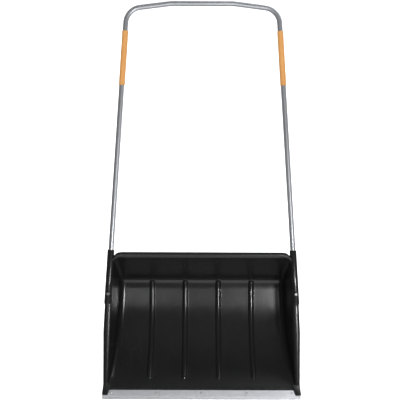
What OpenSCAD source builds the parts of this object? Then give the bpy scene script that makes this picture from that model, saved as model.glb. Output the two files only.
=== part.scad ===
// Snow pusher on two wheels: a moulded pan with a folded metal wear edge, a one-piece bent tube
// handle screwed into sockets on the pan's sides, and a wheel axle carried behind the heel.
// X runs across the pan, +Y runs back from the wear edge and +Z is up. The origin is on the
// ground, in the middle of the wear edge's flat underside, which rests on the ground.

/* [Pan] */
// Thickness of the moulded walls
wall = 4; // [3:0.5:5]
// Height of the inside floor above the ground
floor_top = 7.2; // [7.2:0.1:8]
// Where the flat floor ends and its curve begins
floor_flat_end = 132; // [110:1:150]
// Radius of the floor's curve
floor_radius = 300; // [280:5:320]
// Length of the straight floor between the curve and the heel
heel_flat = 54; // [40:1:60]
// Radius of the heel, on the inside
heel_radius = 47; // [40:1:60]
// Angle that the heel turns through
heel_turn = 60; // [55:1:65]
// Length of the straight back wall
back_length = 176; // [160:1:190]
// Half of the inside width at the top of the back wall
inside_half = 327.4; // [310:0.1:330]
// Angle by which each side wall leans outwards towards the rim
draft = 5.3; // [3:0.1:6]
// Angle by which each side wall spreads towards the wear edge
spread = 1.97; // [1:0.01:3]

/* [Rim] */
// Thickness of the rim flange
rim_thick = 4; // [3:0.5:5]
// Half of the rim's outside width at the top
rim_half_top = 348.5; // [345:0.5:352]
// Half of the rim's outside width at the wear edge
rim_half_foot = 361; // [360:0.5:364]
// Distance up the rim where its sides begin to close in
rim_shoulder = 200; // [150:5:250]
// Width of the flange above the back wall
rim_top_width = 18; // [16:1:24]
// Outside corner radius of the rim
rim_corner = 31; // [20:1:40]
// Corner radius of the pan's opening
opening_corner = 32; // [20:1:40]
// Width of the step along each edge of the flange
rim_step_in = 3; // [2:0.5:5]
// Depth of the turned-down lip around the rim
lip_depth = 11; // [8:1:14]

/* [Floor ribs] */
// Sideways distance between neighbouring floor ribs
rib_pitch = 129; // [120:1:135]
// Radius of a rib's round back
rib_radius = 11.5; // [8:0.5:12]
// Height of a rib above the floor
rib_height = 6.9; // [5:0.1:8]
// Distance back from the origin where the ribs begin
rib_start = 62; // [50:1:80]
// Angle of the heel's curve that is left clear above the ribs
rib_end_turn = 28; // [10:1:40]

/* [Wear edge] */
// Width of the metal edge
edge_width = 720; // [700:1:722]
// Thickness of the sheet
edge_sheet = 1.5; // [1.2:0.1:1.6]
// Length of the leg under the pan, front to back
edge_under = 40; // [36:1:44]
// Length of the leg on top of the pan, front to back
edge_over = 36; // [32:1:40]
// Length of the closed hem at the tip
edge_hem = 6; // [5:1:8]
// Distance of the rivets behind the tip
rivet_back = 24.5; // [22:0.5:27]
// Sideways distance between neighbouring rivets
rivet_pitch = 164; // [150:1:164]

/* [Handle] */
// Angle of the rim and the handle above the ground
handle_angle = 48; // [46:1:50]
// Outside diameter of the handle tube
tube_d = 20; // [19:0.5:20]
// Wall of the handle tube
tube_wall = 1.4; // [1:0.1:2]
// Distance of the tube's centre behind the rim's face
tube_depth = 10; // [9.5:0.5:11]
// Distance up the rim plane of the tube's lower ends
tube_foot = 318; // [310:1:325]
// Height of the top corners' meeting point, measured up the rim plane
corner_up = 1385; // [1300:0.1:1450]
// Half of the distance between the top corners' meeting points
corner_half = 279.7; // [270:0.1:290]
// Angle by which each leg leans inwards on its way up
leg_lean = 3.52; // [3:0.01:3.6]
// Centre-line radius of the top corners
corner_radius = 60; // [50:1:70]
// Half length of the straight top bar, to where its ends begin to drop
bar_half = 115; // [100:0.1:130]
// Distance by which the top bar's ends drop to the corners
bar_drop = 21.3; // [15:0.1:30]
// Centre-line radius of the shallow bends
bar_radius = 150; // [120:5:180]
// Length of each grip sleeve
grip_length = 200; // [180:1:220]
// Outside diameter of each grip sleeve
grip_d = 22.6; // [22.2:0.1:26]
// Height of the grips' lower ends, measured up the rim plane
grip_foot = 1105; // [1000:1:1120]

/* [Wheels] */
// Diameter over the tyre
wheel_d = 160; // [150:1:162]
// Width of the tyre
tyre_width = 36; // [30:1:40]
// Distance of the axle behind the origin
axle_back = 476; // [474:1:490]
// Sideways distance of each wheel from the middle
wheel_half = 246; // [235:1:260]
// Diameter of the axle
axle_d = 12; // [10:1:14]
// Sideways distance of each axle bracket from the middle
bracket_half = 190; // [180:1:192]

/* [Hidden] */

$fn = 72;
// Room for cuts to run past a face, and a size larger than the whole object
past = 1;
reach = 1600;
arc_steps = 24;
slip = 0.1;
// How much thinner the handle's straight lengths are than its bends, and how far they run in
bend_step = 0.2;
bend_overlap = 1;

// The pan's side profile, from the front of the floor to the top of the back wall
back_angle = handle_angle + heel_turn;
floor_centre = [floor_flat_end, floor_top + floor_radius];
curve_end = floor_centre + floor_radius * along(handle_angle - 90);
heel_start = curve_end + heel_flat * along(handle_angle);
heel_centre = heel_start + heel_radius * along(handle_angle + 90);
heel_end = heel_centre + heel_radius * along(back_angle - 90);
back_top = heel_end + back_length * along(back_angle);

// The rim plane runs from its foot on the floor to the top of the back wall
rim_length = (back_top[1] - floor_top) / sin(handle_angle);
rim_foot_y = back_top[0] - rim_length * cos(handle_angle);
rim_top = rim_length + rim_top_width;
rim_step_down = 1.5;

// The rim's sides end here, and a sloping line behind the sockets leads on to its top corners
rim_side_top = [rim_half_top, rim_length - 20];
rim_corner_centre = [297, rim_top - rim_corner];
rim_corner_from = turn_to_touch(rim_side_top - rim_corner_centre, rim_corner);

// Heights and lengths of the wear edge, which grips the thinner front of the floor
edge_tip = -edge_under / 2;
edge_back = edge_tip + edge_over;
edge_top = floor_top - 1.2;
front_gap = 0.1;
front_bottom = edge_sheet + front_gap;
front_top = edge_top - edge_sheet - front_gap;
front_start = edge_tip + 16;
edge_ramp = 6;
rivet_y = edge_tip + rivet_back;
rivet_shank = 5;
rivet_head_d = 11;
rivet_head_height = 2.2;
rivet_tail_d = 8;
rivet_positions = [for (i = [-2:2]) i * rivet_pitch];

// The flat tongues of plastic that carry the side flanges over the ends of the metal
tongue_y = edge_tip + 15;
tongue_back = rim_foot_y + 2 * wall;
tongue_thick = 4;
tongue_inner_back = 330;
tongue_inner_front = 341;
tongue_gap = 0.5;

// The floor at its full thickness starts a little way behind the metal
pan_start = edge_back + 6;

// Handle legs, sockets and their screws, measured in the rim plane
leg_bottom = [corner_half + (corner_up - tube_foot) * tan(leg_lean), tube_foot];
socket_d = 26;
socket_foot = 305;
socket_top = 500;
screw_up = 340;
screw_d = 6;
screw_head_d = 10.5;
screw_head_height = 3.3;
screw_recess_depth = 1.6;
washer_d = 14;
washer_thick = 1.5;
nut_d = 11.5;
nut_thick = 5;
screw_boss_d = 17;
screw_seat = socket_d / 2 - tube_depth + 0.5;
screw_boss_back = screw_seat + tube_depth + socket_d / 2 + 2;
screw_length = screw_boss_back + washer_thick + nut_thick + 2;

// Axle brackets, in the frame of the back wall: up the wall, and out from its inside face
axle_up = wheel_d / 2;
axle_offset = [axle_back, axle_up] - heel_end;
axle_along = axle_offset * along(back_angle);
axle_out = axle_offset * along(back_angle - 90);
bracket_sheet = 3;
bracket_width = 44;
bracket_foot = 15;
bracket_top = 105;
bracket_eye = 15;
bracket_flange = 10;
boss_d = 15;
boss_out = 18;
boss_rows = [30, 90];
boss_side = 11;
boss_web = 3;
pilot_d = 4.2;
pilot_from = wall + 1;
tapping_d = 4.1;
tapping_head_d = 9;
tapping_head_height = 2.6;

// The stack along the axle, outwards from the bracket
bracket_face = bracket_half + bracket_width / 2;
hub_width = 40;
hub_in = wheel_half - hub_width / 2;
hub_out = wheel_half + hub_width / 2;
bush_flange = 2;
bush_bore = axle_d + slip;
bush_d = 20;
bush_flange_d = 27;
bush_length = 17;
side_play = 0.4;
spacer_d = 19;
axle_washer_d = 24;
axle_washer_thick = 1.5;
washer_in = hub_out + bush_flange + side_play;
cap_in = washer_in + axle_washer_thick;
cap_length = 11;
cap_d = 23;
cap_top = 3;
axle_half = cap_in + cap_length - cap_top;

// Wheel rim and tyre
rim_r = 61;
rim_shell = 5;
rim_width = 32;
rim_lip = 3;
web_thick = 6;
hub_r = 19;
spoke_count = 6;
spoke_width = 9;
window_from = hub_r + 5;
window_to = rim_r - rim_shell - 5;
tyre_shoulder = 5;
tread_groove = 2.5;

plastic_black = [0.10, 0.10, 0.11];
wheel_black = [0.14, 0.14, 0.15];
tyre_black = [0.07, 0.07, 0.07];
aluminium = [0.80, 0.81, 0.83];
galvanised = [0.70, 0.71, 0.74];
grip_orange = [0.96, 0.66, 0.42];
zinc = [0.76, 0.77, 0.79];
nylon = [0.86, 0.85, 0.80];

// A unit vector at an angle in the side view
function along(angle) = [cos(angle), sin(angle)];

// Points on an arc
function arc(centre, radius, from, to) =
    [for (i = [0:arc_steps]) centre + radius * along(from + (to - from) * i / arc_steps)];

// The pan's side profile moved outwards by a distance, from the foot of the rim to the top
function profile(out, start) = concat(
    [[start, floor_top - out]],
    arc(floor_centre, floor_radius + out, -90, handle_angle - 90),
    arc(heel_centre, heel_radius + out, handle_angle - 90, back_angle - 90),
    [back_top + out * along(back_angle - 90)]
);

// Half of the inside width at a distance up the rim
function inside_at(up) = inside_half + (rim_length - up) * tan(spread);

// Direction, from a circle's centre, of the point where a line from an outside place touches the circle
function turn_to_touch(place, radius) = atan2(place[1], place[0]) + acos(radius / norm(place));

// One side of the rim's outline, moved inwards, from its foot to its top
function rim_side(inset) = concat(
    [[rim_half_foot - inset, 0], [rim_half_foot - inset, rim_shoulder]],
    [rim_side_top - [inset, inset / 2]],
    arc(rim_corner_centre, rim_corner - inset, rim_corner_from, 90)
);

// One side of the pan's opening in the rim plane, moved outwards, from its foot to its top
function opening_side(grow) = concat(
    [[inside_at(0) + grow, -past]],
    arc([inside_at(rim_length - opening_corner) - opening_corner, rim_length - opening_corner],
        opening_corner + grow, 0, 90)
);

// A plate along the rim plane with the given right-hand side
module rim_layer(side, from, to) translate([0, 0, from]) linear_extrude(to - from)
    polygon(concat(side, mirrored(side)));

function mirrored(points) = [for (i = [len(points) - 1:-1:0]) [-points[i][0], points[i][1]]];

// Draws in the rim plane: Y runs up the rim, and Z points out of the pan towards the front
module rim_frame() translate([0, rim_foot_y, floor_top]) rotate([handle_angle, 0, 0]) children();

// Draws on the back wall: Y runs up the wall, and -Z points out behind it
module back_frame() translate([0, heel_end[0], heel_end[1]]) rotate([back_angle, 0, 0]) children();

// Extrudes a side-view outline across the object, centred
module across(width) rotate([90, 0, 90]) linear_extrude(width, center = true) children();

module both_sides() {
    children();
    mirror([1, 0, 0]) children();
}

// A cylinder along X from one distance to another
module rod(from, to, diameter) translate([from, 0, 0]) rotate([0, 90, 0]) cylinder(h = to - from, d = diameter);

module ring(from, to, outside, inside) difference() {
    rod(from, to, outside);
    rod(from - past, to + past, inside);
}

module at_axle() translate([0, axle_back, axle_up]) children();

// Everything on the inner side of the right-hand wall
module inside_of_wall(grow) translate([inside_half + grow, rim_length, 0])
    rotate([0, draft, spread])
        translate([-reach, -reach / 2, -reach / 2]) cube(reach);

module between_walls(grow) rim_frame() intersection() {
    inside_of_wall(grow);
    mirror([1, 0, 0]) inside_of_wall(grow);
}

module pan_outside() intersection() {
    across(reach) polygon(concat(
        profile(wall, pan_start), [back_top, [rim_foot_y, floor_top], [pan_start, floor_top]]
    ));
    between_walls(wall);
}

module pan_inside() intersection() {
    across(reach) polygon(concat(
        profile(0, rim_foot_y - past),
        [back_top + [-past, reach / 4], [rim_foot_y - past, back_top[1] + reach / 4]]
    ));
    between_walls(0);
    rim_frame() rim_layer(opening_side(0), -reach / 2, reach / 2);
}

// The flange as a plate in the rim plane, with its crown as one step in from the outer edge
module rim_plate() rim_frame() {
    rim_layer(rim_side(0), -rim_thick, -rim_step_down);
    rim_layer(rim_side(rim_step_in), -rim_step_down - past, 0);
}

// The crown's step around the pan's opening
module opening_step() rim_frame() rim_layer(opening_side(rim_step_in), -rim_step_down, past);

// The lip turned down around the outside of the flange, which stops short of the ground
module rim_lip_ring() rim_frame() difference() {
    rim_layer(rim_side(0), -lip_depth, -rim_step_down);
    rim_layer(rim_side(wall - 1), -lip_depth - past, past);
    translate([-reach / 2, lip_depth * 2 - reach, -reach / 2]) cube(reach);
}

// One floor rib as a stack of bands, each narrower than the one below
module floor_rib() {
    layers = 3;
    for (i = [0:layers - 1]) {
        low = rib_height * i / layers;
        high = rib_height * (i + 1) / layers;
        half = sqrt(pow(rib_radius, 2) - pow(rib_radius - rib_height + low, 2));
        across(2 * half) polygon(concat(rib_line(1), rib_back(high)));
    }
}

function rib_line(out) = concat(
    [[rib_start, floor_top - out]],
    arc(floor_centre, floor_radius + out, -90, handle_angle - 90),
    arc(heel_centre, heel_radius + out, handle_angle - 90, back_angle - 90 - rib_end_turn)
);

function rib_back(height) = [for (i = [len(rib_line(-height)) - 1:-1:0]) rib_line(-height)[i]];

// The thinner front of the floor, held inside the wear edge, and the tongues above it
module floor_front() {
    front_deep = rim_foot_y + wall - front_start;
    translate([-rim_half_foot, front_start, front_bottom])
        cube([2 * rim_half_foot, front_deep, front_top - front_bottom]);
    translate([-rim_half_foot, pan_start, front_bottom])
        cube([2 * rim_half_foot, front_start + front_deep - pan_start, floor_top - front_bottom]);
    both_sides() translate([0, 0, front_top - slip]) linear_extrude(floor_top + tongue_thick - front_top)
        tongue_outline(0);
}

module tongue_outline(grow) polygon([
    [tongue_inner_front - grow, tongue_y - grow], [rim_half_foot + grow, tongue_y - grow],
    [rim_half_foot + grow, tongue_back], [tongue_inner_back - grow, tongue_back]
]);

// Draws along the right-hand leg's centre line, which becomes +Z from the given height up the rim
module on_leg(up) rim_frame()
    translate([leg_bottom[0] - (up - tube_foot) * tan(leg_lean), up, -tube_depth])
        rotate([-90, 0, leg_lean]) children();

module leg_part(from, to, diameter) on_leg(from) cylinder(h = (to - from) / cos(leg_lean), d = diameter);

// Draws at the handle screw: the origin is on the seat under its head, and -Z runs back through the tube
module at_handle_screw() both_sides() rim_frame()
    translate([leg_bottom[0] - (screw_up - tube_foot) * tan(leg_lean), screw_up, screw_seat]) children();

// Moulded bosses and webs behind the back wall, which the axle brackets are screwed to
module bracket_bosses() both_sides() back_frame() translate([bracket_half, 0, 0])
    for (side = [-boss_side, boss_side]) {
        for (row = boss_rows) translate([side, row, -boss_out]) cylinder(h = boss_out - wall / 2, d = boss_d);
        translate([side - boss_web / 2, boss_rows[0], -boss_out + 1])
            cube([boss_web, boss_rows[1] - boss_rows[0], boss_out - wall / 2 - 1]);
    }

module at_bracket_screws() both_sides() back_frame() for (side = [-boss_side, boss_side], row = boss_rows)
    translate([bracket_half + side, row, 0]) children();

module scoop_pan() color(plastic_black) difference() {
    union() {
        difference() {
            union() {
                pan_outside();
                rim_plate();
            }
            pan_inside();
            opening_step();
        }
        rim_lip_ring();
        floor_front();
        for (i = [-1.5:1.5]) translate([i * rib_pitch, 0, 0]) floor_rib();
        both_sides() leg_part(socket_foot, socket_top, socket_d);
        at_handle_screw() translate([0, 0, -screw_boss_back]) cylinder(h = screw_boss_back, d = screw_boss_d);
        bracket_bosses();
    }
    both_sides() leg_part(tube_foot - slip, socket_top + past, tube_d + 2 * slip);
    at_handle_screw() translate([0, 0, -screw_boss_back - past])
        cylinder(h = screw_boss_back + 2 * past, d = screw_d + 4 * slip);
    at_bracket_screws() translate([0, 0, -boss_out - past])
        cylinder(h = boss_out + past - pilot_from, d = pilot_d);
    for (x = rivet_positions) translate([x, rivet_y, 0]) cylinder(h = edge_top, d = rivet_shank + slip);
}

module wear_edge() color(galvanised) difference() {
    across(edge_width) polygon([
        [edge_tip, 0.8], [edge_tip + 0.8, 0], [-edge_tip, 0], [-edge_tip, edge_sheet],
        [edge_tip + edge_hem + 1, edge_sheet],
        [edge_tip + edge_hem + edge_ramp + 1, edge_top - edge_sheet],
        [edge_back, edge_top - edge_sheet], [edge_back, edge_top],
        [edge_tip + edge_hem + edge_ramp, edge_top],
        [edge_tip + edge_hem, 2 * edge_sheet], [edge_tip + 0.8, 2 * edge_sheet], [edge_tip, 2 * edge_sheet - 0.8]
    ]);
    both_sides() translate([0, 0, front_top - slip]) linear_extrude(edge_top) tongue_outline(tongue_gap);
    for (x = rivet_positions) translate([x, rivet_y, 0]) {
        translate([0, 0, -past]) cylinder(h = edge_top + 2 * past, d = rivet_shank + slip);
        translate([0, 0, -past]) cylinder(h = past + edge_sheet, d1 = rivet_tail_d + 4, d2 = rivet_shank + slip);
    }
}

module wear_edge_rivets() color(zinc) for (x = rivet_positions) translate([x, rivet_y, 0]) {
    translate([0, 0, 0.2]) cylinder(h = edge_top - 0.2, d = rivet_shank);
    translate([0, 0, 0.2]) cylinder(h = edge_sheet - 0.3, d1 = rivet_tail_d, d2 = rivet_shank);
    translate([0, 0, edge_top]) intersection() {
        dome_r = (pow(rivet_head_d / 2, 2) + pow(rivet_head_height, 2)) / (2 * rivet_head_height);
        translate([0, 0, rivet_head_height - dome_r]) sphere(r = dome_r);
        cylinder(h = rivet_head_height + past, d = rivet_head_d + past);
    }
}

// The handle's centre line as a solid rod: two legs, corners, sloping ends and a flat top bar.
// The straight lengths are a hair thinner than the bends and run a little way into them.
module handle_rod(diameter, past_end) {
    slope = atan(bar_drop / (corner_half - bar_half));
    corner_turn = 90 - leg_lean - slope;
    corner_tangent = corner_radius * tan(corner_turn / 2) - bend_overlap;
    shallow_tangent = bar_radius * tan(slope / 2);
    slope_length = norm([corner_half - bar_half, bar_drop]);
    straight_d = diameter - bend_step;
    both_sides() {
        leg_part(tube_foot - past_end, corner_up - corner_tangent * cos(leg_lean), straight_d);
        rim_frame() translate([0, 0, -tube_depth]) {
            translate([corner_half, corner_up, 0]) rotate([0, 0, leg_lean])
                translate([-corner_radius, -corner_tangent - bend_overlap, 0])
                    bend(corner_radius, 0, corner_turn, diameter);
            translate([bar_half, corner_up + bar_drop, 0]) rotate([0, 0, -slope])
                rod(shallow_tangent - bend_overlap, slope_length - corner_tangent, straight_d);
            translate([bar_half - shallow_tangent, corner_up + bar_drop - bar_radius, 0])
                bend(bar_radius, 90 - slope, slope, diameter);
        }
    }
    rim_frame() translate([0, corner_up + bar_drop, -tube_depth])
        rod(-bar_half + shallow_tangent - bend_overlap, bar_half - shallow_tangent + bend_overlap, straight_d);
}

// A round bend in the rim plane about the local origin
module bend(radius, from, turn, diameter) rotate([0, 0, from])
    rotate_extrude(angle = turn) translate([radius, 0]) circle(d = diameter);

module handle_tube() color(aluminium) difference() {
    handle_rod(tube_d, 0);
    handle_rod(tube_d - 2 * tube_wall, past);
    at_handle_screw() translate([0, 0, -screw_boss_back]) cylinder(h = screw_boss_back, d = screw_d + 4 * slip);
}

module grip() color(grip_orange) difference() {
    leg_part(grip_foot, grip_foot + grip_length * cos(leg_lean), grip_d);
    leg_part(grip_foot - past, grip_foot + past + grip_length * cos(leg_lean), tube_d + slip);
}

module left_grip() mirror([1, 0, 0]) grip();

module right_grip() grip();

module handle_screws() color(zinc) at_handle_screw() difference() {
    union() {
        translate([0, 0, -screw_length]) cylinder(h = screw_length, d = screw_d);
        cylinder(h = screw_head_height - 1, d = screw_head_d);
        translate([0, 0, screw_head_height - 1]) cylinder(h = 1, d1 = screw_head_d, d2 = screw_head_d - 3);
    }
    for (turn = [0, 90]) rotate(turn)
        translate([-screw_d / 2, -0.6, screw_head_height - screw_recess_depth]) cube([screw_d, 1.2, screw_d]);
}

module handle_washers() color(zinc) at_handle_screw() translate([0, 0, -screw_boss_back - washer_thick])
    difference() {
        cylinder(h = washer_thick, d = washer_d);
        translate([0, 0, -past]) cylinder(h = washer_thick + 2 * past, d = screw_d + 4 * slip);
    }

module handle_nuts() color(zinc) at_handle_screw()
    translate([0, 0, -screw_boss_back - washer_thick - nut_thick]) difference() {
        union() {
            translate([0, 0, 1]) cylinder(h = nut_thick - 1, d = nut_d, $fn = 6);
            cylinder(h = 1, d = nut_d * cos(30) - 0.5);
        }
        translate([0, 0, -past]) cylinder(h = nut_thick + 2 * past, d = screw_d + slip);
    }

// A bent sheet bracket: a plate on the bosses, two cheeks down to the axle
module axle_bracket() color(zinc) difference() {
    back_frame() translate([bracket_half, 0, 0]) {
        translate([-bracket_width / 2, bracket_foot, -boss_out - bracket_sheet])
            cube([bracket_width, bracket_top - bracket_foot, bracket_sheet]);
        for (side = [-1, 1]) translate([side * (bracket_width - bracket_sheet) / 2, 0, 0])
            across(bracket_sheet) polygon(concat(
                [[bracket_top, -boss_out], [bracket_foot, -boss_out]],
                arc([axle_along, -axle_out], bracket_eye, 90, 270),
                [[bracket_foot, -boss_out - 3 * bracket_flange], [bracket_top, -boss_out - bracket_flange]]
            ));
    }
    at_axle() rod(bracket_half - bracket_width, bracket_half + bracket_width, axle_d + slip);
    at_bracket_screws() translate([0, 0, -boss_out - 2 * bracket_sheet])
        cylinder(h = 3 * bracket_sheet, d = tapping_d + 4 * slip);
}

module left_axle_bracket() mirror([1, 0, 0]) axle_bracket();

module right_axle_bracket() axle_bracket();

module bracket_screws() color(zinc) at_bracket_screws() translate([0, 0, -boss_out - bracket_sheet]) {
    cylinder(h = boss_out + bracket_sheet - pilot_from - 1, d = tapping_d);
    translate([0, 0, -tapping_head_height]) difference() {
        cylinder(h = tapping_head_height, d = tapping_head_d);
        for (turn = [0, 90]) rotate(turn) translate([-tapping_d / 2, -0.5, -past])
            cube([tapping_d, 1, 1 + past]);
    }
}

module wheel_axle() color(galvanised) at_axle() rod(-axle_half, axle_half, axle_d);

module axle_spacers() color(zinc) at_axle() both_sides()
    ring(bracket_face + slip, hub_in - bush_flange - side_play, spacer_d, axle_d + slip);

module axle_washers() color(zinc) at_axle() both_sides()
    ring(washer_in, cap_in, axle_washer_d, axle_d + slip);

module axle_caps() color(plastic_black) at_axle() both_sides() difference() {
    union() {
        rod(cap_in, cap_in + cap_length - 1.5, cap_d);
        translate([cap_in + cap_length - 1.5, 0, 0]) rotate([0, 90, 0])
            cylinder(h = 1.5, d1 = cap_d, d2 = cap_d - 3);
    }
    rod(cap_in - past, axle_half + slip, axle_d + slip);
}

// A moulded wheel: hub, web with windows between the spokes, and a rim shell with lips
module wheel_rim() color(wheel_black) at_axle() translate([wheel_half, 0, 0]) difference() {
    rotate([0, 90, 0]) {
        rotate_extrude() difference() {
            union() {
                translate([0, -hub_width / 2]) square([hub_r, hub_width]);
                translate([0, -web_thick / 2]) square([rim_r, web_thick]);
                translate([rim_r - rim_shell, -rim_width / 2]) square([rim_shell, rim_width]);
            }
            translate([0, -hub_width / 2 - past]) square([bush_d / 2, hub_width + 2 * past]);
        }
        for (i = [0:spoke_count - 1]) rotate(i * 360 / spoke_count)
            translate([hub_r - 1, -spoke_width / 2, -rim_width / 2 + rim_lip])
                cube([rim_r - rim_shell - hub_r + 2, spoke_width, rim_width - 2 * rim_lip]);
    }
    for (i = [0:spoke_count - 1]) rotate([(i + 0.5) * 360 / spoke_count, 0, 0])
        translate([0, 0, (window_from + window_to) / 2]) rod(-rim_width, rim_width, (window_to - window_from) * 0.6);
}

module left_wheel_rim() mirror([1, 0, 0]) wheel_rim();

module right_wheel_rim() wheel_rim();

// A solid tyre with rounded shoulders and three grooves around the tread
module tyre() color(tyre_black) at_axle() translate([wheel_half, 0, 0]) rotate([0, 90, 0]) rotate_extrude($fn = 120)
    difference() {
        polygon(concat(
            [[rim_r, -rim_width / 2], [wheel_d / 2 - 1.5 * tyre_shoulder, -tyre_width / 2]],
            arc([wheel_d / 2 - tyre_shoulder, -tyre_width / 2 + tyre_shoulder], tyre_shoulder, -90, 0),
            arc([wheel_d / 2 - tyre_shoulder, tyre_width / 2 - tyre_shoulder], tyre_shoulder, 0, 90),
            [[wheel_d / 2 - 1.5 * tyre_shoulder, tyre_width / 2], [rim_r, rim_width / 2]]
        ));
        for (i = [-1:1]) translate([wheel_d / 2 - tread_groove, i * 3 * tread_groove - tread_groove / 2])
            square([2 * tread_groove, tread_groove]);
    }

module left_tyre() mirror([1, 0, 0]) tyre();

module right_tyre() tyre();

// Two flanged bushings pushed into the hub from its ends
module hub_bushings() color(nylon) at_axle() translate([wheel_half, 0, 0])
    for (end = [0, 1]) mirror([end, 0, 0]) {
        ring(hub_width / 2 - bush_length, hub_width / 2, bush_d, bush_bore);
        ring(hub_width / 2, hub_width / 2 + bush_flange, bush_flange_d, bush_bore);
    }

module left_hub_bushings() mirror([1, 0, 0]) hub_bushings();

module right_hub_bushings() hub_bushings();

scoop_pan();
wear_edge();
wear_edge_rivets();
handle_tube();
left_grip();
right_grip();
handle_screws();
handle_washers();
handle_nuts();
left_axle_bracket();
right_axle_bracket();
bracket_screws();
wheel_axle();
axle_spacers();
axle_washers();
axle_caps();
left_wheel_rim();
right_wheel_rim();
left_tyre();
right_tyre();
left_hub_bushings();
right_hub_bushings();
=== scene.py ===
"""Looks for the wheeled snow shovel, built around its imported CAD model."""
import math

import bmesh
import bpy
from mathutils import Matrix, Vector


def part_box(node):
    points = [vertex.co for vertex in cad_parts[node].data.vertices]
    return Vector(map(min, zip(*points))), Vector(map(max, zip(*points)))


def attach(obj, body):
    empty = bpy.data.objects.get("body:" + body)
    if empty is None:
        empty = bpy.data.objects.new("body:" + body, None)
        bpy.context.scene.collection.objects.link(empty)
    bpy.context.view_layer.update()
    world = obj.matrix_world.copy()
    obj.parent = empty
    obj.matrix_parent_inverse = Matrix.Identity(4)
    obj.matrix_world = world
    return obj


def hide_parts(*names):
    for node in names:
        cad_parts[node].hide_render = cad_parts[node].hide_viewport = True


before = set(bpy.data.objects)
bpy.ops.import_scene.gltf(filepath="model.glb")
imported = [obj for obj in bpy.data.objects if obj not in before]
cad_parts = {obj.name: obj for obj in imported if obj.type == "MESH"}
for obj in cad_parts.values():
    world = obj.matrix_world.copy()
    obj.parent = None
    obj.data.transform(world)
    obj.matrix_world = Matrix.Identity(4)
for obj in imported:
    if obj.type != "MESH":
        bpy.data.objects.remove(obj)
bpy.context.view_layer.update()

# Lengths below are in millimetres, as in the CAD model, and become metres when points are made
MM = 0.001

# The pan's side profile, from the foot of the rim to the top of the back wall
RIM_ANGLE = math.radians(48)
FLOOR_TOP = 7.2
FLOOR_FLAT_END = 130.9
FLOOR_RADIUS = 300
FLOOR_TURN = math.radians(44)
FLOOR_END_RADIUS = 650
HEEL_FLAT = 15.4
HEEL_START_RADIUS = 150
HEEL_START_TURN = math.radians(10)
HEEL_RADIUS = 42
HEEL_TURN = math.radians(50)
BACK_TURN = HEEL_START_TURN + HEEL_TURN
BACK_LENGTH = 177
WALL = 4
DRAFT = math.radians(5.3)
SPREAD = math.radians(1.97)
INSIDE_HALF = 327.4
WALL_FILLET = 21
OPENING_CORNER = 32

# The rim flange
RIM_HALF_TOP = 348.5
RIM_HALF_FOOT = 361
RIM_SHOULDER = 200
RIM_TOP_WIDTH = 18
RIM_SIDE_SHORT = 20
RIM_CORNER = 31
RIM_CORNER_X = 297
RIM_CROWN = 3.5
RIM_ROUND_IN = 1.5
RIM_ROUND_OUT = 2
CROWN_TO_WALL = 1
RIM_FOOT_THICK = 4
RIM_THICK = 7
LIP_DEPTH = 11
LIP_FOOT = 6.5
LIP_THICK = 3
LIP_START = 16
LIP_RUN = 20
LIP_ROUND = 0.8

# The floor ribs
RIB_PITCH = 129
RIB_RADIUS = 11.5
RIB_HEIGHT = 6.9
RIB_START_Y = 62
RIB_END_SHORT = 22
RIB_BLEND = 0.5
RIB_HOLLOW_RADIUS = 8.9

# The metal edge and the plastic around it
EDGE_TIP = -20
EDGE_UNDER = 40
EDGE_BACK = 16
EDGE_TOP = 6
EDGE_SHEET = 1.5
EDGE_HEM = 6
EDGE_RAMP = 6
EDGE_HALF = 360
EDGE_BEND = 1.6
PAN_START_Y = 22
SHOULDER_LENGTH = 2.4
SHOULDER_CORNER = 1.4
HOLD_START_Y = -4
HOLD_GAP = 0.2
HOLD_RAMP_START = 1
TONGUE_FRONT = -5
TONGUE_INNER_FRONT = 341
TONGUE_INNER_BACK = 330
TONGUE_TOP = 11.1
TONGUE_BOTTOM = 4.3
TONGUE_BACK = 36.8
TONGUE_ROUND = 1.5
TONGUE_GAP = 0.5
RIVET_Y = 4.5
RIVET_PITCH = 164
RIVET_HEAD_RADIUS = 5.5
RIVET_HEAD_HEIGHT = 2.2
RIVET_SHANK_RADIUS = 2.5
RIVET_FOOT_RADIUS = 3.9
RIVET_FOOT_TOP = 1.4
RIVET_SINK = 0.2

# The handle, in the rim's frame
TUBE_RADIUS = 10
TUBE_BORE = 8.6
TUBE_DEPTH = 10
TUBE_FOOT = 318
CORNER_UP = 1385
CORNER_HALF = 279.7
LEG_LEAN = math.radians(3.52)
CORNER_RADIUS = 60
BAR_HALF = 115
BAR_DROP = 21.3
BAR_RADIUS = 150
GRIP_FOOT = 1105
GRIP_LENGTH = 200
GRIP_RADIUS = 11.3
GRIP_GAP = 0.05
GRIP_END = 2
GRIP_SWELLS = 4
GRIP_WAIST_DEPTH = 0.06
SOCKET_RADIUS = 13
SOCKET_TOP = 500
SOCKET_FOOT = 305
SOCKET_TAPER = 22
SOCKET_GAP = 0.1
SOCKET_TIP = ((0, 4), (3, 6.5))
SCREW_UP = 340
SCREW_SEAT = 3.5
SCREW_BOSS_RADIUS = 8.5
SCREW_BOSS_BACK = 28.5
SCREW_BOSS_BEVEL = 1

# Rounded ends, as points (distance from the end, distance in from the full radius)
GRIP_EDGE = ((0, 0.7), (0.25, 0.25), (0.8, 0))
SOCKET_EDGE = ((1.5, 0), (0.5, 0.4), (0, 1.2))
SCREW_BOSS_EDGE = ((0, 0.8), (0.3, 0.2), (1, 0))

# Bosses for the axle brackets, in the back wall's frame
BRACKET_HALF = 190
BOSS_SIDE = 11
BOSS_ROWS = (30, 90)
BOSS_RADIUS = 7.5
BOSS_OUT = 18
BOSS_ROUND = 0.6
BOSS_FOOT_SPREAD = 1
BOSS_FOOT_HEIGHT = 1.5
BOSS_WEB = 3
BOSS_WEB_SHORT = 1

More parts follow.
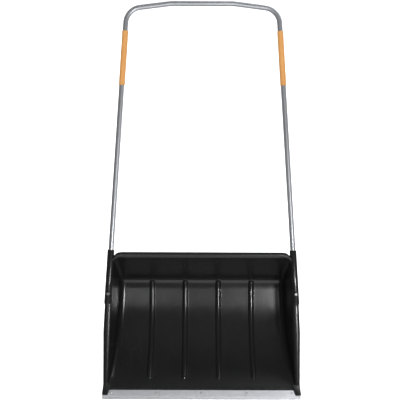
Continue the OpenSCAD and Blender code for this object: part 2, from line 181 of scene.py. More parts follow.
# The tyres. A slot's widths are shares of the distance from one tread block to the next
TYRE_SHOULDER = 5
TYRE_FLANK = 4
TYRE_BEAD = ((2, 0), (0.6, 1.5), (0, 4))
TREAD_BLOCKS = 44
TREAD_DEPTH = 2.4
GROOVE_PLACES = (-7.5, 0, 7.5)
GROOVE_HALF = 1.7
GROOVE_SLOPE = 0.7
SLOT_HALF = 0.13
SLOT_SLOPE = 0.05
SLOT_SLANT = 12
TREAD_FADE = 3

# How meshes are divided: points around a round piece, and the spacing of points along the pan
ROUND_STEPS = 48
SMALL_ROUND_STEPS = 32
FINE_STEP = 1.1
HEEL_STEP = 2
FRONT_STEP = 5
COARSE_STEP = 5.5

# Points closer than this become one, in the pieces made here and in the CAD nodes
MERGE_DISTANCE = 0.002
WELD_DISTANCE = 0.005

# Angle, in degrees, over which an edge counts as a corner
HARD_EDGE = 40

# Radius at which a turned outline closes on its axis
NEAR_AXIS = 0.01

# The camera, in the rim's frame, with its lens in millimetres and its roll in degrees
CAMERA_PLACE = (-8, 684, 2400)
CAMERA_LENS = 59.0
CAMERA_ROLL = 0.2

# Height, in degrees above the ground, up to which the studio's backdrop is bright
BACKDROP_RISE = 52


# ---------------------------------------------------------------- places

def rim_point(x, up, out):
    """A point given across the pan, up the rim's plane and out of it towards the front."""
    y = RIM_FOOT_Y + up * math.cos(RIM_ANGLE) - out * math.sin(RIM_ANGLE)
    z = FLOOR_TOP + up * math.sin(RIM_ANGLE) + out * math.cos(RIM_ANGLE)
    return Vector((x, y, z)) * MM


def rim_direction(x, up, out):
    """A unit direction given in the same way as a point."""
    return (rim_point(x, up, out) - rim_point(0, 0, 0)).normalized()


# Lengths of the profile behind its first flat, each with the turn in its heading
CURVES = [
    (FLOOR_RADIUS * FLOOR_TURN, FLOOR_TURN),
    (FLOOR_END_RADIUS * (RIM_ANGLE - FLOOR_TURN), RIM_ANGLE - FLOOR_TURN),
    (HEEL_FLAT, 0),
    (HEEL_START_RADIUS * HEEL_START_TURN, HEEL_START_TURN),
    (HEEL_RADIUS * HEEL_TURN, HEEL_TURN),
    (BACK_LENGTH, 0),
]


def walk(profile, distance):
    """(up, depth behind the rim's plane, heading) at a distance along a profile."""
    up, depth, heading = 0, 0, RIM_ANGLE
    for length, turn in profile:
        part = min(distance, length)
        turned = turn * part / length
        if turn:
            radius = length / turn
            up += radius * (math.sin(heading) - math.sin(heading - turned))
            depth += radius * (math.cos(heading - turned) - math.cos(heading))
        else:
            up += part * math.cos(heading)
            depth += part * math.sin(heading)
        heading -= turned
        distance -= part
        if distance <= 0:
            break
    return up, depth, heading


# The first flat is as long as it takes for the back wall to end in the rim's plane
FLOOR_FLAT = -walk(CURVES, math.inf)[1] / math.sin(RIM_ANGLE)
PROFILE = [(FLOOR_FLAT, 0)] + CURVES
PROFILE_LENGTH = sum(length for length, turn in PROFILE)
HEEL_END = PROFILE_LENGTH - BACK_LENGTH
RIM_FOOT_Y = FLOOR_FLAT_END - FLOOR_FLAT


def profile_at(distance):
    return walk(PROFILE, distance)


RIM_LENGTH = profile_at(PROFILE_LENGTH)[0]
RIM_TOP = RIM_LENGTH + RIM_TOP_WIDTH
RIB_FROM = RIB_START_Y - RIM_FOOT_Y
RIB_TO = HEEL_END - RIB_END_SHORT
RIB_CENTRES = [i * RIB_PITCH for i in (-1.5, -0.5, 0.5, 1.5)]


def inside_at(up):
    """Half of the pan's inside width at the rim, with its rounded upper corners."""
    past = max(0, up - (RIM_LENGTH - OPENING_CORNER))
    rounding = OPENING_CORNER - math.sqrt(max(OPENING_CORNER ** 2 - past ** 2, 0))
    return INSIDE_HALF + (RIM_LENGTH - up) * math.tan(SPREAD) - rounding


def leg_half(up):
    """Distance from the middle to a handle leg's centre line."""
    return CORNER_HALF + (CORNER_UP - up) * math.tan(LEG_LEAN)


def steps(start, end, step):
    """Evenly spaced values from start up to, but not including, end."""
    count = max(1, round((end - start) / step))
    return [start + (end - start) * i / count for i in range(count)]


def smooth_step(value):
    value = min(max(value, 0), 1)
    return value * value * (3 - 2 * value)


# ---------------------------------------------------------------- mesh tools

class Shape:
    """Points and faces of a piece, gathered from one or more shells. Each point also has its place
    on the straightened piece, which a material can follow where the piece bends."""

    def __init__(self):
        self.points = []
        self.faces = []
        self.straight = []

    def add(self, points, faces, straight=None):
        first = len(self.points)
        self.points += points
        self.straight += straight or points
        self.faces += [[first + i for i in face] for face in faces]

    def loft(self, rings, loop=False, straight=None):
        """A closed shell through rings of points. A loop joins the last ring to the first."""
        count = len(rings[0])
        faces = []
        for r in range(len(rings) if loop else len(rings) - 1):
            low = r * count
            high = (r + 1) % len(rings) * count
            for i in range(count):
                j = (i + 1) % count
                faces.append((low + i, low + j, high + j, high + i))
        if not loop:
            faces.append(tuple(range(count)))
            faces.append(tuple(range((len(rings) - 1) * count, len(rings) * count)))
        self.add([p for ring in rings for p in ring], faces, straight)

    def lathe(self, outline, origin, axis, loop=False, round_steps=ROUND_STEPS):
        """Turns an outline of (distance along the axis, radius), in millimetres, around an axis."""
        axis = axis.normalized()
        side = axis.orthogonal().normalized()
        other = axis.cross(side)
        rings = []
        for along, radius in outline:
            centre = origin + axis * along * MM
            ring = []
            for i in range(round_steps):
                angle = 2 * math.pi * i / round_steps
                ring.append(centre + (side * math.cos(angle) + other * math.sin(angle)) * radius * MM)
            rings.append(ring)
        self.loft(rings, loop)

    def strip(self, rows):
        """An open skin through rows of points."""
        count = len(rows[0])
        faces = []
        for r in range(len(rows) - 1):
            for i in range(count - 1):
                low = r * count + i
                faces.append((low, low + 1, low + count + 1, low + count))
        self.add([p for row in rows for p in row], faces)


def arc(centre, radius, start, end, count):
    """Points on an arc in a plane, angles in degrees."""
    points = []
    for i in range(count + 1):
        angle = math.radians(start + (end - start) * i / count)
        points.append((centre[0] + radius * math.cos(angle), centre[1] + radius * math.sin(angle)))
    return points


def curve(start, corner, end, count):
    """Points on a rounded corner from start to end, without the start."""
    points = []
    for i in range(1, count + 1):
        t = i / count
        points.append(start * (1 - t) ** 2 + corner * 2 * t * (1 - t) + end * t * t)
    return points


def rounded_end(end, radius, edge, inwards):
    """Outline points of a turned piece's rounded end. Inwards is 1 or -1, the way into the piece."""
    return [(end + inwards * run, radius - drop) for run, drop in edge]


def piece(name, shape, material, body, slot, *replaced, sharp=HARD_EDGE):
    """Makes a mesh object that rides on a CAD body and stands for some CAD nodes."""
    mesh = bpy.data.meshes.new(name)
    mesh.from_pydata([tuple(p) for p in shape.points], [], shape.faces)
    straight = mesh.attributes.new("straight", "FLOAT_VECTOR", "POINT")
    straight.data.foreach_set("vector", [c for p in shape.straight for c in p])
    edit = bmesh.new()
    edit.from_mesh(mesh)
    bmesh.ops.remove_doubles(edit, verts=edit.verts, dist=MERGE_DISTANCE * MM)
    bmesh.ops.dissolve_degenerate(edit, edges=edit.edges, dist=MERGE_DISTANCE * MM)
    bmesh.ops.recalc_face_normals(edit, faces=edit.faces)
    edit.to_mesh(mesh)
    edit.free()
    mesh.shade_smooth()
    mesh.set_sharp_from_angle(angle=math.radians(sharp))
    mesh.materials.append(material)
    made = bpy.data.objects.new(name, mesh)
    bpy.context.scene.collection.objects.link(made)
    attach(made, body)
    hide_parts(*replaced)


# ---------------------------------------------------------------- materials

class Look:
    """A Principled material, with short calls for the nodes that vary it over the surface."""

    def __init__(self, name, **sockets):
        self.material = bpy.data.materials.new(name)
        self.material.use_nodes = True
        self.tree = self.material.node_tree
        self.shader = next(n for n in self.tree.nodes if n.type == "BSDF_PRINCIPLED")
        self.normal = None
        for socket, value in sockets.items():
            self.shader.inputs[socket.replace("_", " ")].default_value = value

    def node(self, kind, inputs=None, **settings):
        made = self.tree.nodes.new(kind)
        for key, value in settings.items():
            setattr(made, key, value)
        for key, value in (inputs or {}).items():
            if isinstance(value, bpy.types.NodeSocket):
                self.tree.links.new(value, made.inputs[key])
            else:
                made.inputs[key].default_value = value
        return made

    def place(self, stretch, straight=False):
        """Object coordinates, or those of the straightened piece, scaled along each axis."""
        if straight:
            source = self.node("ShaderNodeAttribute", attribute_name="straight").outputs["Vector"]
        else:
            source = self.node("ShaderNodeTexCoord").outputs["Object"]
        return self.node("ShaderNodeMapping", {"Vector": source, "Scale": stretch}).outputs["Vector"]

    def noise(self, scale, stretch=(1, 1, 1), detail=4, straight=False):
        place = self.place(stretch, straight)
        inputs = {"Vector": place, "Scale": scale, "Detail": detail}
        return self.node("ShaderNodeTexNoise", inputs).outputs["Fac"]

    def cells(self, scale, stretch):
        inputs = {"Vector": self.place(stretch), "Scale": scale}
        return self.node("ShaderNodeTexVoronoi", inputs).outputs["Color"]

    def spread(self, value, low, high, start=0.3, end=0.7):
        """Maps the part of a value from start to end onto low to high."""
        inputs = {"Value": value, "From Min": start, "From Max": end, "To Min": low, "To Max": high}
        return self.node("ShaderNodeMapRange", inputs).outputs["Result"]

    def product(self, first, second):
        return self.node("ShaderNodeMath", {0: first, 1: second}, operation="MULTIPLY").outputs[0]

    def total(self, first, second):
        return self.node("ShaderNodeMath", {0: first, 1: second}, operation="ADD").outputs[0]

    def mix(self, factor, first, second):
        made = self.node("ShaderNodeMix", {"Factor": factor}, data_type="RGBA")
        for socket, value in ((made.inputs[6], first), (made.inputs[7], second)):
            if isinstance(value, bpy.types.NodeSocket):
                self.tree.links.new(value, socket)
            else:
                socket.default_value = (*value, 1)
        return made.outputs[2]

    def colour(self, value):
        self.tree.links.new(value, self.shader.inputs["Base Color"])

    def roughness(self, value):
        self.tree.links.new(value, self.shader.inputs["Roughness"])

    def bump(self, height, depth, strength):
        """Adds relief of a depth in millimetres on top of what is there."""
        inputs = {"Height": height, "Distance": depth * MM, "Strength": strength}
        if self.normal:
            inputs["Normal"] = self.normal
        self.normal = self.node("ShaderNodeBump", inputs).outputs["Normal"]
        self.tree.links.new(self.normal, self.shader.inputs["Normal"])


def pan_look():
    """Black polypropylene with a fine moulded grain and faint scuffs where snow slides."""
    look = Look("pan_black_plastic", IOR=1.49)
    cloud = look.noise(6, detail=5)
    scuffs = look.spread(look.noise(60, (14, 0.6, 0.6), detail=6), 0, 1, 0.6, 0.75)
    marks = look.product(scuffs, look.spread(look.noise(9), 0, 1, 0.45, 0.65))
    shade = look.mix(cloud, (0.0062, 0.0063, 0.0066), (0.0092, 0.0093, 0.0096))
    look.colour(look.mix(look.product(marks, 0.08), shade, (0.05, 0.05, 0.053)))
    base = look.spread(look.noise(25, detail=5), 0.22, 0.27)
    look.roughness(look.total(base, look.product(marks, 0.04)))
    look.bump(look.noise(1400, detail=2), 0.012, 0.3)
    look.bump(look.noise(14, detail=2), 0.25, 0.25)
    return look.material


def wear_edge_look():
    """Galvanised sheet: soft spangle, brushing along its length, and scrapes near its tip."""
    look = Look("wear_edge_galvanised", Metallic=0.8)
    spangle = look.cells(110, (0.6, 1, 1))
    brush = look.noise(900, (0.02, 1, 1), detail=3)
    scrapes = look.spread(look.noise(300, (1, 0.03, 1), detail=4), 0, 1, 0.62, 0.7)
    grey = look.mix(spangle, (0.74, 0.76, 0.80), (0.84, 0.85, 0.88))
    look.colour(look.mix(look.product(scrapes, 0.4), grey, (0.45, 0.45, 0.47)))
    look.roughness(look.total(look.spread(brush, 0.30, 0.44), look.product(scrapes, 0.1)))
    look.bump(brush, 0.012, 0.5)
    return look.material


def handle_look():
    """Drawn aluminium tube with fine lines along its length."""
    look = Look("handle_drawn_aluminium", Metallic=0.85)
    lines = look.noise(1500, (1, 1, 0.01), detail=3, straight=True)
    cloud = look.noise(30, (1, 1, 0.2), detail=4, straight=True)
    look.colour(look.mix(cloud, (0.42, 0.435, 0.46), (0.49, 0.505, 0.53)))
    look.roughness(look.total(look.spread(lines, 0.34, 0.44), look.spread(cloud, 0, 0.06)))
    look.bump(lines, 0.008, 0.5)
    return look.material


def grip_look():
    """Soft orange sleeve with a fine skin and slightly rubbed patches."""
    look = Look("grip_orange_sleeve", Specular_IOR_Level=0.35)
    cloud = look.noise(35, (1, 0.4, 0.4), detail=4)
    look.colour(look.mix(cloud, (0.37, 0.175, 0.048), (0.43, 0.212, 0.068)))
    look.roughness(look.spread(look.noise(120, detail=4), 0.5, 0.66))
    look.bump(look.noise(1700, detail=2), 0.06, 0.6)
    look.bump(look.noise(260, (1, 0.5, 0.5), detail=3), 0.10, 0.3)
    return look.material


def metal_look(name, dark, light, rough_low, rough_high, stretch=(1, 1, 1), scale=220, metallic=1.0):
    """Plated or bare metal with cloudy tone and fine working marks."""
    look = Look(name, Metallic=metallic)
    cloud = look.noise(scale, stretch, detail=5)
    look.colour(look.mix(cloud, dark, light))
    look.roughness(look.spread(look.noise(scale * 4, stretch, detail=4), rough_low, rough_high))
    look.bump(look.noise(scale * 6, stretch, detail=3), 0.01, 0.5)
    return look.material


def plastic_look(name, dark, light, rough_low, rough_high):
    """Moulded plastic with a fine grain and slight changes of tone and gloss."""
    look = Look(name, IOR=1.49)
    look.colour(look.mix(look.noise(40, detail=5), dark, light))
    look.roughness(look.spread(look.noise(150, detail=5), rough_low, rough_high))
    look.bump(look.noise(1500, detail=2), 0.04, 0.5)
    return look.material


def tyre_look():
    """Solid rubber, greyer where it is dusty."""
    look = Look("tyre_solid_rubber", Specular_IOR_Level=0.35)
    dust = look.spread(look.noise(55, detail=6), 0, 1, 0.45, 0.75)
    look.colour(look.mix(dust, (0.013, 0.013, 0.013), (0.035, 0.034, 0.032)))
    look.roughness(look.spread(dust, 0.6, 0.85, 0, 1))
    look.bump(look.noise(900, detail=4), 0.08, 0.6)
    return look.material


# ---------------------------------------------------------------- the pan

def rib_rise(x, distance, radius):
    """How far a floor rib's round back stands above the floor, or its hollow above the underside."""
    nearest = min(RIB_CENTRES, key=lambda centre: abs(x - centre))
    cap = math.sqrt(RIB_RADIUS ** 2 - (RIB_RADIUS - RIB_HEIGHT) ** 2)
    beyond = max(RIB_FROM + cap - distance, distance - (RIB_TO - cap), 0)
    off = math.hypot(x - nearest, beyond)
    sunk = RIB_RADIUS - RIB_HEIGHT
    rise = math.sqrt(max(radius ** 2 - off ** 2, 0)) - sunk
    rest = (math.hypot(sunk, RIB_BLEND) - sunk) / 2
    return (rise + math.hypot(rise, RIB_BLEND)) / 2 - rest


def floor_columns():
    """Distances across the floor where its mesh has points: close together over each rib."""
    half_steps = 11
    gap_steps = 6
    fine = [i * FINE_STEP for i in range(-half_steps, half_steps + 1)]
    columns = []
    for centre in RIB_CENTRES:
        if columns:
            gap = centre + fine[0] - columns[-1]
            columns += [columns[-1] + gap * i / gap_steps for i in range(1, gap_steps)]
        columns += [centre + offset for offset in fine]
    return columns


def stations():
    """Distances along the profile where the pan's mesh has points: close together at the ribs' ends."""
    start = 1
    beyond_rib = 3
    along_rib = 14
    heel = FLOOR_FLAT + sum(length for length, turn in CURVES[:3])
    corner = PROFILE_LENGTH - OPENING_CORNER / math.cos(BACK_TURN)
    last = PROFILE_LENGTH - wall_top(RIM_LENGTH) / math.sin(BACK_TURN)
    values = steps(start, RIB_FROM - beyond_rib, FRONT_STEP)
    values += steps(RIB_FROM - beyond_rib, RIB_FROM + along_rib, FINE_STEP)
    values += steps(RIB_FROM + along_rib, heel, COARSE_STEP)
    values += steps(heel, RIB_TO - along_rib, HEEL_STEP)
    values += steps(RIB_TO - along_rib, RIB_TO + beyond_rib, FINE_STEP)
    values += steps(RIB_TO + beyond_rib, corner, COARSE_STEP)
    corner_steps = 12
    for i in range(corner_steps + 1):
        share = math.sin(math.pi / 2 * i / corner_steps)
        values.append(corner + (last - corner) * share)
    return values


def wall_top(depth):
    """Depth at which the pan's wall passes into the rim's crowned face."""
    return min(RIM_CROWN + CROWN_TO_WALL, depth / 2)


def rim_underside(up):
    """Depth of the flange's underside, which grows where the lip starts."""
    return RIM_FOOT_THICK + (RIM_THICK - RIM_FOOT_THICK) * smooth_step((up - LIP_START) / LIP_RUN)


def section(distance, out):
    """One row of points across the pan, from its left rim to its right, moved out by a distance."""
    up, depth, heading = profile_at(distance)
    skin = out > 0
    floor_up = up - out * math.sin(heading)
    floor_depth = depth + out * math.cos(heading)
    if skin:
        floor_depth = max(floor_depth, rim_underside(up))
    half = inside_at(floor_up if skin else up) + out / math.cos(DRAFT)
    top = rim_underside(up) if skin else wall_top(depth)
    room = max(floor_depth - top, 0)
    fillet_share = 0.8
    radius = min(WALL_FILLET + out, fillet_share * room)
    centre_depth = floor_depth - radius
    centre_x = half - centre_depth * math.tan(DRAFT) - radius / math.cos(DRAFT)
    side = []
    wall_steps = 7
    wall_end = centre_depth + radius * math.sin(DRAFT)
    for i in range(wall_steps):
        level = top + (wall_end - top) * i / wall_steps
        side.append((half - level * math.tan(DRAFT), level))
    fillet_steps = 9
    for i in range(fillet_steps):
        angle = DRAFT + (math.pi / 2 - DRAFT) * i / fillet_steps
        side.append((centre_x + radius * math.cos(angle), centre_depth + radius * math.sin(angle)))
    inner = floor_columns()
    outer_steps = 7
    for i in range(outer_steps):
        side.append((centre_x + (inner[-1] - centre_x) * i / outer_steps, floor_depth))
    rib_radius = RIB_HOLLOW_RADIUS if skin else RIB_RADIUS
    row = [rim_point(-x, floor_up, -level) for x, level in side]
    for x in inner:
        rise = rib_rise(x, distance, rib_radius)
        row.append(rim_point(x, floor_up + rise * math.sin(heading), -floor_depth + rise * math.cos(heading)))
    row += [rim_point(x, floor_up, -level) for x, level in reversed(side)]
    return row


def rim_outer(x, up):
    """The point on the rim's outer edge that belongs to a point on its inner edge."""
    side = 1 if x > 0 else -1
    corner_up = RIM_LENGTH - OPENING_CORNER
    straight_half = INSIDE_HALF - OPENING_CORNER
    side_top = Vector((RIM_HALF_TOP, RIM_LENGTH - RIM_SIDE_SHORT))
    if up <= corner_up:
        outer_up = up * side_top.y / corner_up
        closing = max(0, outer_up - RIM_SHOULDER) / (side_top.y - RIM_SHOULDER)
        return side * (RIM_HALF_FOOT + (RIM_HALF_TOP - RIM_HALF_FOOT) * closing), outer_up
    if abs(x) <= straight_half:
        return x * RIM_CORNER_X / straight_half, RIM_TOP
    centre = Vector((RIM_CORNER_X, RIM_TOP - RIM_CORNER))
    reach = side_top - centre
    touch = math.atan2(reach.y, reach.x) + math.acos(RIM_CORNER / reach.length)
    turn = math.atan2(up - corner_up, abs(x) - straight_half)
    on_arc = max(turn, touch)
    place = centre + Vector((math.cos(on_arc), math.sin(on_arc))) * RIM_CORNER
    place = side_top.lerp(place, min(turn / touch, 1))
    return side * place.x, place.y


def rim_section(inner_vertex, outer_vertex, x, up, depth):
    """Points across the rim, from the pan's inside skin over the crowned face and lip to its outside."""
    far_x, far_up = rim_outer(x, up)
    width = math.hypot(far_x - x, far_up - up)
    away = ((far_x - x) / width, (far_up - up) / width)
    inner_drop = max(wall_top(depth) - CROWN_TO_WALL, 0)

    def at(inward, out):
        run = width - inward
        return rim_point(x + away[0] * run, up + away[1] * run, out)

    def face(inward):
        share = 2 * inward / width - 1
        return at(inward, -(inner_drop if share > 0 else RIM_CROWN) * share * share)

    lip = -LIP_FOOT - (LIP_DEPTH - LIP_FOOT) * smooth_step((up - LIP_START) / LIP_RUN)
    under = -rim_underside(up)
    points = [inner_vertex]
    points += curve(inner_vertex, at(width, -inner_drop), face(width - RIM_ROUND_IN), 3)
    face_steps = 16
    face_width = width - RIM_ROUND_IN - RIM_ROUND_OUT
    for i in range(1, face_steps + 1):
        points.append(face(width - RIM_ROUND_IN - face_width * i / face_steps))
    points += curve(points[-1], at(0, -RIM_CROWN), at(0, -RIM_CROWN - RIM_ROUND_OUT), 4)
    points += [at(0, lip + LIP_ROUND), at(LIP_ROUND, lip), at(LIP_THICK - LIP_ROUND, lip)]
    lip_root = 1
    points += [at(LIP_THICK, max(lip + LIP_ROUND, under - lip_root)), at(LIP_THICK, under)]
    points.append(outer_vertex)
    return points


def rim_rows(inside, outside):
    """Rows of points around the rim: up the left side, along the top and down the right side."""
    rows = []
    distances = stations()
    for side, column in ((-1, 0), (1, -1)):
        flank = []
        for distance, inner_row, outer_row in zip(distances, inside, outside):
            up, depth = profile_at(distance)[:2]
            flank.append(rim_section(inner_row[column], outer_row[column], side * inside_at(up), up, depth))
        rows.append(flank)
    top = []
    for inner_vertex, outer_vertex in list(zip(inside[-1], outside[-1]))[1:-1]:
        x = inner_vertex.x / MM
        over = max(0, abs(x) - (INSIDE_HALF - OPENING_CORNER))
        up = RIM_LENGTH - OPENING_CORNER + math.sqrt(max(OPENING_CORNER ** 2 - over ** 2, 0))
        top.append(rim_section(inner_vertex, outer_vertex, x, up, RIM_LENGTH))
    return rows[0] + top + rows[1][::-1]


def front_rows(inside, outside):
    """Rows from the floor's rounded front edge, through the part held in the metal, to the underside."""
    def across(y, z):
        return [Vector((p.x, y * MM, z * MM)) for p in inside[0]]

    hold_top = EDGE_TOP - EDGE_SHEET - HOLD_GAP
    hold_bottom = EDGE_SHEET + HOLD_GAP
    shoulder = across(PAN_START_Y + SHOULDER_LENGTH, FLOOR_TOP)
    corner = across(PAN_START_Y + SHOULDER_CORNER, FLOOR_TOP)
    low = across(PAN_START_Y, hold_top + HOLD_GAP)
    rounding = [curve(start, middle, end, 6) for start, middle, end in zip(shoulder, corner, low)]
    rows = [shoulder] + [list(row) for row in zip(*rounding)]
    rows += [across(PAN_START_Y, hold_top), across(HOLD_START_Y, hold_top)]
    rows += [across(HOLD_START_Y, hold_bottom), across(PAN_START_Y + HOLD_RAMP_START, hold_bottom)]
    return [inside[0]] + rows + [outside[0]]


def add_tongues(shape):
    """The flat feet of the side flanges, which lie over the ends of the metal."""
    for side in (-1, 1):
        rings = []
        for inset, z in ((0, TONGUE_BOTTOM), (0, TONGUE_TOP - TONGUE_ROUND)):
            rings.append(tongue_ring(side, inset, z))
        for turn in (30, 60, 90):
            angle = math.radians(turn)
            inset = TONGUE_ROUND * (1 - math.cos(angle))
            rings.append(tongue_ring(side, inset, TONGUE_TOP - TONGUE_ROUND * (1 - math.sin(angle))))
        shape.loft(rings)


def tongue_ring(side, inset, z):
    """One level of a tongue's outline, with small corner radii at its front."""
    nose = 3
    front = TONGUE_FRONT + inset
    back = TONGUE_BACK - inset
    outer = RIM_HALF_FOOT - inset
    inner_front = TONGUE_INNER_FRONT + inset
    outline = arc((inner_front + nose, front + nose), nose, 180, 270, 4)
    outline += arc((outer - nose, front + nose), nose, 270, 360, 4)
    outline += [(outer, back), (TONGUE_INNER_BACK + inset, back)]
    return [Vector((side * x, y, z)) * MM for x, y in outline]


def leg_axis(side):
    """(origin in the rim's plane at the tube's foot, direction upwards) of a handle leg."""
    origin = rim_point(side * leg_half(TUBE_FOOT), TUBE_FOOT, -TUBE_DEPTH)
    return origin, rim_direction(-side * math.sin(LEG_LEAN), math.cos(LEG_LEAN), 0)


def add_sockets(shape):
    """Moulded sockets for the handle's legs, with a flat boss at each screw."""
    bore = TUBE_RADIUS + SOCKET_GAP
    top = (SOCKET_TOP - TUBE_FOOT) / math.cos(LEG_LEAN)
    foot = SOCKET_FOOT - TUBE_FOOT
    tip = foot - SOCKET_TAPER
    outline = [(tip, NEAR_AXIS)]
    outline += [(tip + along, radius) for along, radius in SOCKET_TIP]
    outline += [(foot, SOCKET_RADIUS)]
    outline += rounded_end(top, SOCKET_RADIUS, SOCKET_EDGE, -1)
    outline += [(top, bore), (-SOCKET_GAP, bore), (-SOCKET_GAP, NEAR_AXIS)]
    boss = [(0, NEAR_AXIS)]
    boss += rounded_end(0, SCREW_BOSS_RADIUS, SCREW_BOSS_EDGE, 1)
    boss += [(SCREW_BOSS_BACK - SCREW_BOSS_BEVEL, SCREW_BOSS_RADIUS)]
    boss += [(SCREW_BOSS_BACK, SCREW_BOSS_RADIUS - SCREW_BOSS_BEVEL), (SCREW_BOSS_BACK, NEAR_AXIS)]
    backwards = rim_direction(0, 0, -1)
    for side in (-1, 1):
        origin, axis = leg_axis(side)
        shape.lathe(outline, origin, axis)
        seat = rim_point(side * leg_half(SCREW_UP), SCREW_UP, SCREW_SEAT)
        shape.lathe(boss, seat, backwards)


def back_frame():
    """(heel end, direction up the back wall, direction out behind it)."""
    up, depth, heading = profile_at(HEEL_END)
    origin = rim_point(0, up, -depth)
    along = rim_direction(0, math.cos(heading), -math.sin(heading))
    behind = rim_direction(0, -math.sin(heading), -math.cos(heading))
    return origin, along, behind


def add_bracket_bosses(shape):
    """Bosses behind the back wall that take the bracket screws, with a web between each pair."""
    origin, along, behind = back_frame()
    across = Vector((1, 0, 0))
    foot_radius = BOSS_RADIUS + BOSS_FOOT_SPREAD
    outline = [(WALL / 2, NEAR_AXIS), (WALL / 2, foot_radius), (WALL, foot_radius)]
    outline += [(WALL + BOSS_FOOT_HEIGHT, BOSS_RADIUS), (BOSS_OUT - BOSS_ROUND, BOSS_RADIUS)]
    outline += [(BOSS_OUT, BOSS_RADIUS - BOSS_ROUND), (BOSS_OUT, NEAR_AXIS)]
    web_out = BOSS_OUT - BOSS_WEB_SHORT
    for centre in (-BRACKET_HALF, BRACKET_HALF):
        for offset in (-BOSS_SIDE, BOSS_SIDE):
            base = origin + across * (centre + offset) * MM
            for row in BOSS_ROWS:
                shape.lathe(outline, base + along * row * MM, behind, round_steps=SMALL_ROUND_STEPS)
            rings = []
            for row in BOSS_ROWS:
                ring = []
                for sideways, out in ((-1, WALL / 2), (1, WALL / 2), (1, web_out), (-1, web_out)):
                    step = across * sideways * BOSS_WEB / 2 + along * row + behind * out
                    ring.append(base + step * MM)
                rings.append(ring)
            shape.loft(rings)


def make_pan(material):
    """The moulded pan: inside and outside skins, rolled rim, tongues, sockets and bosses."""
    distances = stations()
    inside = [section(distance, 0) for distance in distances]
    outside = [section(distance, WALL) for distance in distances]
    rim = rim_rows(inside, outside)
    front = front_rows(inside, outside)
    shape = Shape()
    shape.strip(inside)
    shape.strip(outside)
    shape.strip(rim)
    shape.strip(front)
    for end, column in ((rim[0], 0), (rim[-1], -1)):
        loop = end + [row[column] for row in reversed(front[1:-1])]
        shape.add(loop, [tuple(range(len(loop)))])
    add_tongues(shape)
    add_sockets(shape)
    add_bracket_bosses(shape)
    piece("pan_shell", shape, material, "pusher", "pan_plastic", "scoop_pan", sharp=50)


# ---------------------------------------------------------------- the metal edge

def rounded_path(corners, radius):
    """A path through corners in a plane, with each inner corner rounded."""
    corners = [Vector(corner) for corner in corners]
    corner_steps = 5
    longest_share = 0.45
    path = [corners[0]]
    for before, corner, after in zip(corners, corners[1:], corners[2:]):
        into = (before - corner).normalized()
        onward = (after - corner).normalized()
        shortest = min((after - corner).length, (before - corner).length)
        reach = min(radius / math.tan(into.angle(onward) / 2), longest_share * shortest)
        start = corner + into * reach
        end = corner + onward * reach
        path += [start] + curve(start, corner, end, corner_steps)
    return path + [corners[-1]]


def band_faces(count):
    """Faces between two rings of points, one after the other in a list."""
    return [(i, (i + 1) % count, (i + 1) % count + count, i + count) for i in range(count)]


def make_wear_edge(material):
    """The folded sheet: under leg, closed hem, ramp and top leg, notched for the plastic tongues."""
    half = EDGE_SHEET / 2
    low = half
    mid = 3 * half
    high = EDGE_TOP - half
    hem_end = EDGE_TIP + EDGE_HEM
    notch = TONGUE_FRONT - TONGUE_GAP
    path = rounded_path([(EDGE_UNDER + EDGE_TIP, low), (hem_end, low), (EDGE_TIP + half, low),
                         (EDGE_TIP + half, mid), (hem_end, mid), (hem_end + EDGE_RAMP, high),
                         (notch, high), (EDGE_BACK, high)], EDGE_BEND)
    left = []
    right = []
    for i, point in enumerate(path):
        ahead = path[min(i + 1, len(path) - 1)] - path[max(i - 1, 0)]
        normal = Vector((-ahead.y, ahead.x)).normalized() * half
        left.append(point + normal)
        right.append(point - normal)
    outline = left + right[::-1]

    def over(point):
        """Whether a point is on the top leg, behind the notches' front."""
        return point.y > mid and point.x > notch + 0.01

    def at(point, x):
        return Vector((x, point.x, point.y)) * MM

    def notch_half(y):
        share = (y - TONGUE_FRONT) / (TONGUE_BACK - TONGUE_FRONT)
        return TONGUE_INNER_FRONT + (TONGUE_INNER_BACK - TONGUE_INNER_FRONT) * share - TONGUE_GAP

    shape = Shape()
    edge_x = notch_half(notch)
    middle = [at(p, -(notch_half(p.x) if over(p) else edge_x)) for p in outline]
    other = [at(p, notch_half(p.x) if over(p) else edge_x) for p in outline]
    shape.add(middle + other, band_faces(len(outline)))
    short = [p for p in outline if not over(p)]
    flap = [i for i, p in enumerate(outline) if over(p)]
    flap = [flap[0] - 1] + flap + [flap[-1] + 1]
    for side, ring in ((-1, middle), (1, other)):
        near = [at(p, side * edge_x) for p in short]
        far = [at(p, side * EDGE_HALF) for p in short]
        count = len(short)
        shape.add(near + far, band_faces(count) + [tuple(range(count, 2 * count))])
        shape.add([ring[i] for i in flap], [tuple(range(len(flap)))])
    piece("wear_edge_sheet", shape, material, "pusher", "edge_steel", "wear_edge")


